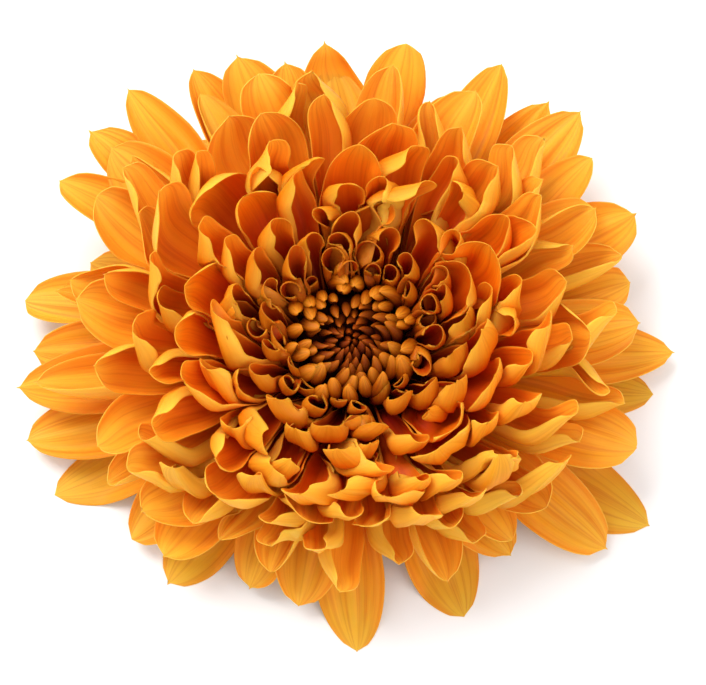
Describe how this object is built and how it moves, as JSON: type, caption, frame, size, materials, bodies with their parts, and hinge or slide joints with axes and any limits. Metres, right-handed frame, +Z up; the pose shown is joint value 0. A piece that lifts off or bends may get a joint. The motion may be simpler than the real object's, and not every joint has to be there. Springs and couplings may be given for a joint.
{
  "type": "chrysanthemum flower",
  "caption": "Round orange flower head lying face up, its curled petals in layers round a closed middle, with green bracts and a short cut stalk below.",
  "frame": {"origin": "on the surface that the head lies on, under the middle of its bounding box", "axes": "+Z up out of the head's face, +Y away from a viewer who sees the head as the picture shows it, +X to that viewer's right"},
  "size_m": [0.1006, 0.092, 0.0312],
  "materials": {
    "ray_petal": "living petal, satin, deep orange inside and golden yellow on the back and margins",
    "centre_floret": "living closed floret, satin, brown-gold",
    "green_bract": "living green tissue, matt"
  },
  "bodies": {
    "root": {"ray_florets": "ray_petal", "centre_florets": "centre_floret", "calyx_and_stalk": "green_bract"}
  },
  "joints": []
}
